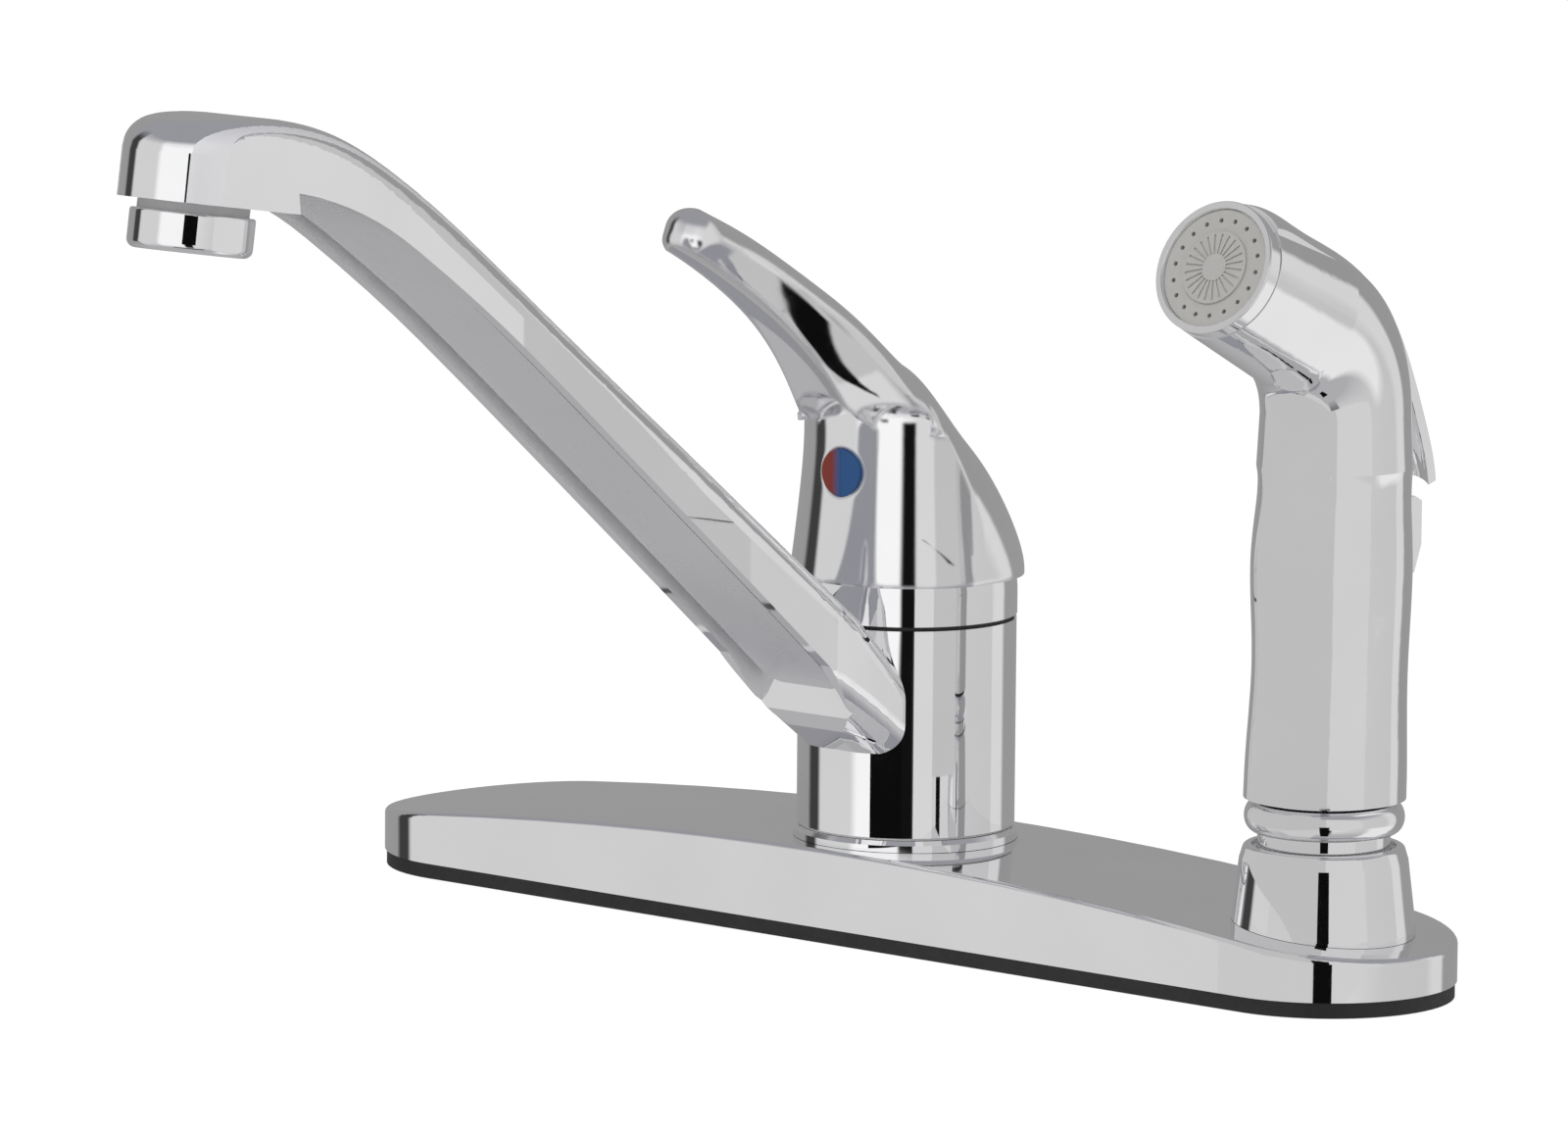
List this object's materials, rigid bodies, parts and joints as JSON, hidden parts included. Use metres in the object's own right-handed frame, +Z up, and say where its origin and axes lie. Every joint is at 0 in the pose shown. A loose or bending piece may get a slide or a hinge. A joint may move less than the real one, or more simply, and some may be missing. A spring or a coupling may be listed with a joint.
{
  "type": "side spray kitchen faucet",
  "caption": "Single-lever kitchen tap with a swivelling spout and a pull-up side spray on an arched deck plate.",
  "frame": {"origin": "on the tap's vertical axis, at the underside of the deck gasket, which is the sink's top", "axes": "+Z up along the tap's axis, +X along the deck plate towards the side spray, -Y towards the user along the centred spout and lever"},
  "size_m": [0.254, 0.2396, 0.174],
  "materials": {
    "chrome_zinc": "mirror-polished nickel-chrome plating over cast zinc or brass",
    "chrome_abs": "mirror chrome plating over moulded plastic",
    "brass": "machined, unplated",
    "black_rubber": "moulded, matt",
    "white_plastic": "moulded acetal, matt",
    "grey_plastic": "moulded, satin",
    "ceramic": "lapped alumina",
    "steel": "plain stainless",
    "blue_plastic": "gloss",
    "red_plastic": "gloss"
  },
  "bodies": {
    "base": {"deck_plate": "chrome_abs", "deck_gasket": "black_rubber", "valve_body": "brass", "base_ring": "chrome_zinc", "hub_washer": "white_plastic", "friction_ring": "black_rubber", "spout_seals": "black_rubber", "dome_cap": "chrome_zinc", "cartridge_base": "white_plastic", "port_seals": "black_rubber", "fixed_disc": "ceramic", "cartridge_housing": "white_plastic", "bonnet_nut": "brass", "spray_holder": "chrome_zinc", "holder_liner": "white_plastic", "saddle_washer": "black_rubber", "holder_nut": "white_plastic"},
    "spout": {"spout": "chrome_zinc", "spout_cover": "grey_plastic", "aerator_housing": "chrome_zinc", "aerator_insert": "white_plastic", "aerator_screen": "grey_plastic", "aerator_washer": "black_rubber"},
    "rotor": {"stem_carrier": "white_plastic", "pivot_pin": "steel"},
    "handle": {"handle": "chrome_zinc", "lever_stem": "brass", "set_screw": "steel", "index_button": "blue_plastic", "index_inlay": "red_plastic"},
    "disc": {"moving_disc": "ceramic", "disc_driver": "white_plastic"},
    "diverter": {"diverter_piston": "white_plastic", "diverter_seal": "black_rubber"},
    "coupling": {"spray_coupling": "chrome_abs", "coupling_seal": "black_rubber"},
    "sprayer": {"spray_body": "chrome_abs", "spray_bezel": "chrome_abs", "spray_face": "grey_plastic", "lever_pin": "steel", "valve_spring": "steel"},
    "trigger": {"spray_lever": "chrome_abs"},
    "plunger": {"valve_plunger": "white_plastic", "plunger_seal": "black_rubber"}
  },
  "joints": [
    {"name": "spout_swivel", "type": "hinge", "parent": "base", "child": "spout", "pos_m": [0, 0, 0.04], "axis": [0, 0, 1], "range_deg": [-75, 45]},
    {"name": "handle_turn", "type": "hinge", "parent": "base", "child": "rotor", "pos_m": [0, 0, 0.066], "axis": [0, 0, 1], "range_deg": [-45, 45]},
    {"name": "handle_lift", "type": "hinge", "parent": "rotor", "child": "handle", "pos_m": [0, 0, 0.066], "axis": [-1, 0, 0], "range_deg": [0, 18]},
    {"name": "disc_slide", "type": "slide", "parent": "rotor", "child": "disc", "axis": [0, -1, 0], "range_m": [0, 0.0032]},
    {"name": "diverter_slide", "type": "slide", "parent": "base", "child": "diverter", "axis": [0, 0, 1], "range_m": [0, 0.0025]},
    {"name": "spray_lift", "type": "slide", "parent": "base", "child": "coupling", "axis": [0, 0, 1], "range_m": [0, 0.08]},
    {"name": "spray_swivel", "type": "hinge", "parent": "coupling", "child": "sprayer", "pos_m": [0.1016, 0, 0.045], "axis": [0, 0, 1], "continuous": true},
    {"name": "spray_press", "type": "hinge", "parent": "sprayer", "child": "trigger", "pos_m": [0.1016, -0.0235, 0.1436], "axis": [-1, 0, 0], "range_deg": [0, 3.4], "stiffness_Nm_per_rad": 0.6, "springref_deg": -8.59},
    {"name": "plunger_slide", "type": "slide", "parent": "sprayer", "child": "plunger", "axis": [0, 0, -1], "range_m": [0, 0.0022], "deforming": ["valve_spring"]}
  ],
  "couplings": [
    {"joint": "disc_slide", "follows": "handle_lift", "m_per_rad": 0.00997},
    {"joint": "plunger_slide", "follows": "spray_press", "m_per_rad": 0.0353}
  ]
}
